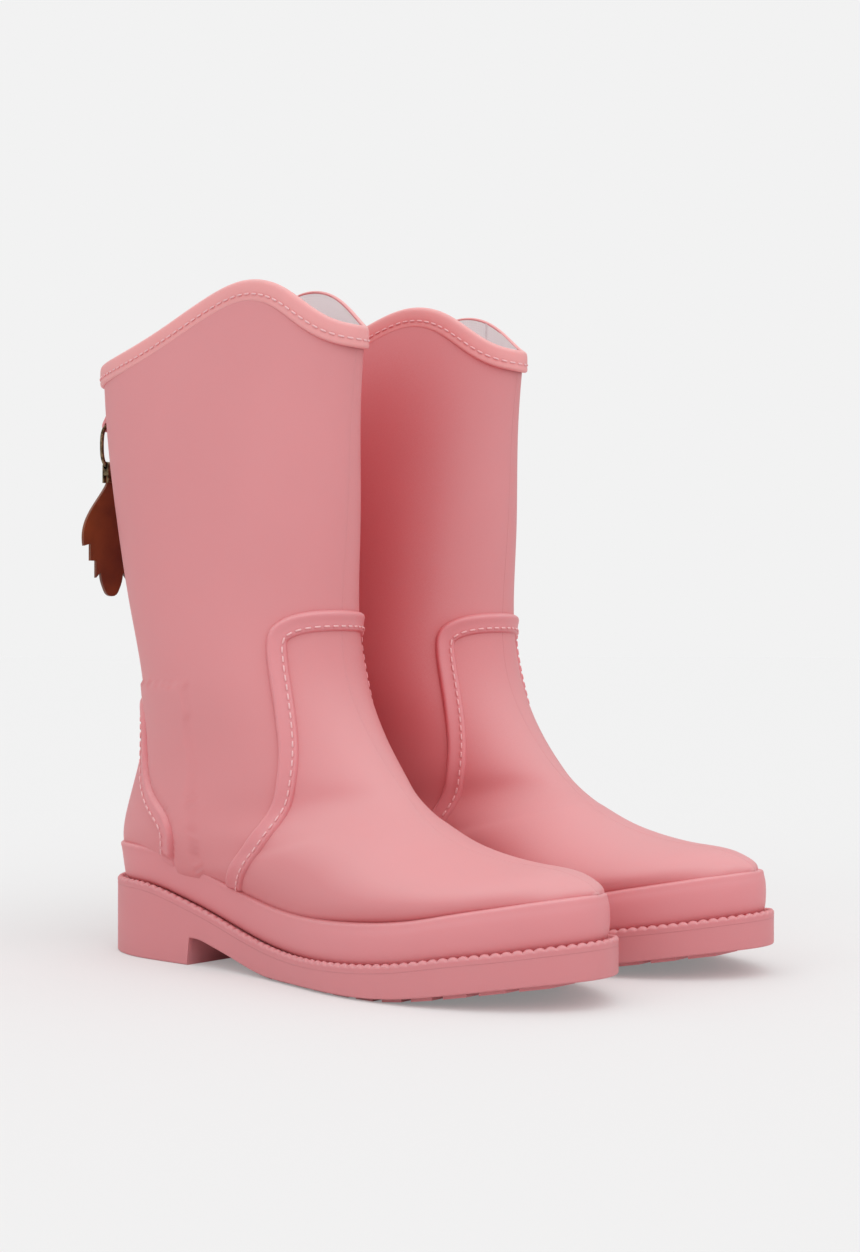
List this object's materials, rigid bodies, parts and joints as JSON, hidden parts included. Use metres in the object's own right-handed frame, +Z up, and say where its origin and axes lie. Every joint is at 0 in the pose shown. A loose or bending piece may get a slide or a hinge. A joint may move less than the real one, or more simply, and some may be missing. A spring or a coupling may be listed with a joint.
{
  "type": "wellington boots",
  "caption": "Pair of pink rubber wellington boots with a scalloped western topline, a welted lugged sole and a leather feather charm hung from the back of each shaft.",
  "frame": {"origin": "centre of the pair's footprint, on the ground under the heels and the forefoot", "axes": "+Z up, +X from the right boot to the left boot, -Y the way the toes point"},
  "size_m": [0.201, 0.3046, 0.3035],
  "materials": {
    "pink_rubber": "matte",
    "pink_rubber_trim": "matte",
    "pink_rubber_sole": "matte",
    "knit_lining": "knitted",
    "footbed_foam": "matte",
    "board": "matte",
    "shank_steel": "satin",
    "aged_brass": "antique",
    "brown_leather": "smooth"
  },
  "bodies": {
    "right_boot": {"right_upper_shell": "pink_rubber", "right_insole_board": "board", "right_lining": "knit_lining", "right_footbed": "footbed_foam", "right_top_binding": "pink_rubber_trim", "right_vamp_trim": "pink_rubber_trim", "right_heel_counter": "pink_rubber_trim", "right_foxing_band": "pink_rubber_sole", "right_welt": "pink_rubber_sole", "right_outsole": "pink_rubber_sole", "right_shank": "shank_steel", "right_hang_tab": "pink_rubber_trim"},
    "right_ring": {"right_charm_ring": "aged_brass"},
    "right_feather": {"right_charm_clip": "aged_brass", "right_feather_charm": "brown_leather"},
    "left_boot": {"left_upper_shell": "pink_rubber", "left_insole_board": "board", "left_lining": "knit_lining", "left_footbed": "footbed_foam", "left_top_binding": "pink_rubber_trim", "left_vamp_trim": "pink_rubber_trim", "left_heel_counter": "pink_rubber_trim", "left_foxing_band": "pink_rubber_sole", "left_welt": "pink_rubber_sole", "left_outsole": "pink_rubber_sole", "left_shank": "shank_steel", "left_hang_tab": "pink_rubber_trim"},
    "left_ring": {"left_charm_ring": "aged_brass"},
    "left_feather": {"left_charm_clip": "aged_brass", "left_feather_charm": "brown_leather"}
  },
  "joints": [
    {"name": "right_ring_swing", "type": "hinge", "parent": "right_boot", "child": "right_ring", "pos_m": [-0.05173, 0.14933, 0.247], "axis": [1, 0, 0], "range_deg": [-8, 60]},
    {"name": "right_feather_swing", "type": "hinge", "parent": "right_ring", "child": "right_feather", "pos_m": [-0.05173, 0.14933, 0.2275], "axis": [1, 0, 0], "range_deg": [-8, 60]},
    {"name": "left_boot_lift", "type": "slide", "parent": "right_boot", "child": "left_boot", "axis": [0, 0, 1], "range_m": [0, 0.4]},
    {"name": "left_ring_swing", "type": "hinge", "parent": "left_boot", "child": "left_ring", "pos_m": [0.0446, 0.14211, 0.247], "axis": [0.9994, 0.034, 0], "range_deg": [-8, 60]},
    {"name": "left_feather_swing", "type": "hinge", "parent": "left_ring", "child": "left_feather", "pos_m": [0.0446, 0.14211, 0.2275], "axis": [0.9994, 0.034, 0], "range_deg": [-8, 60]}
  ]
}
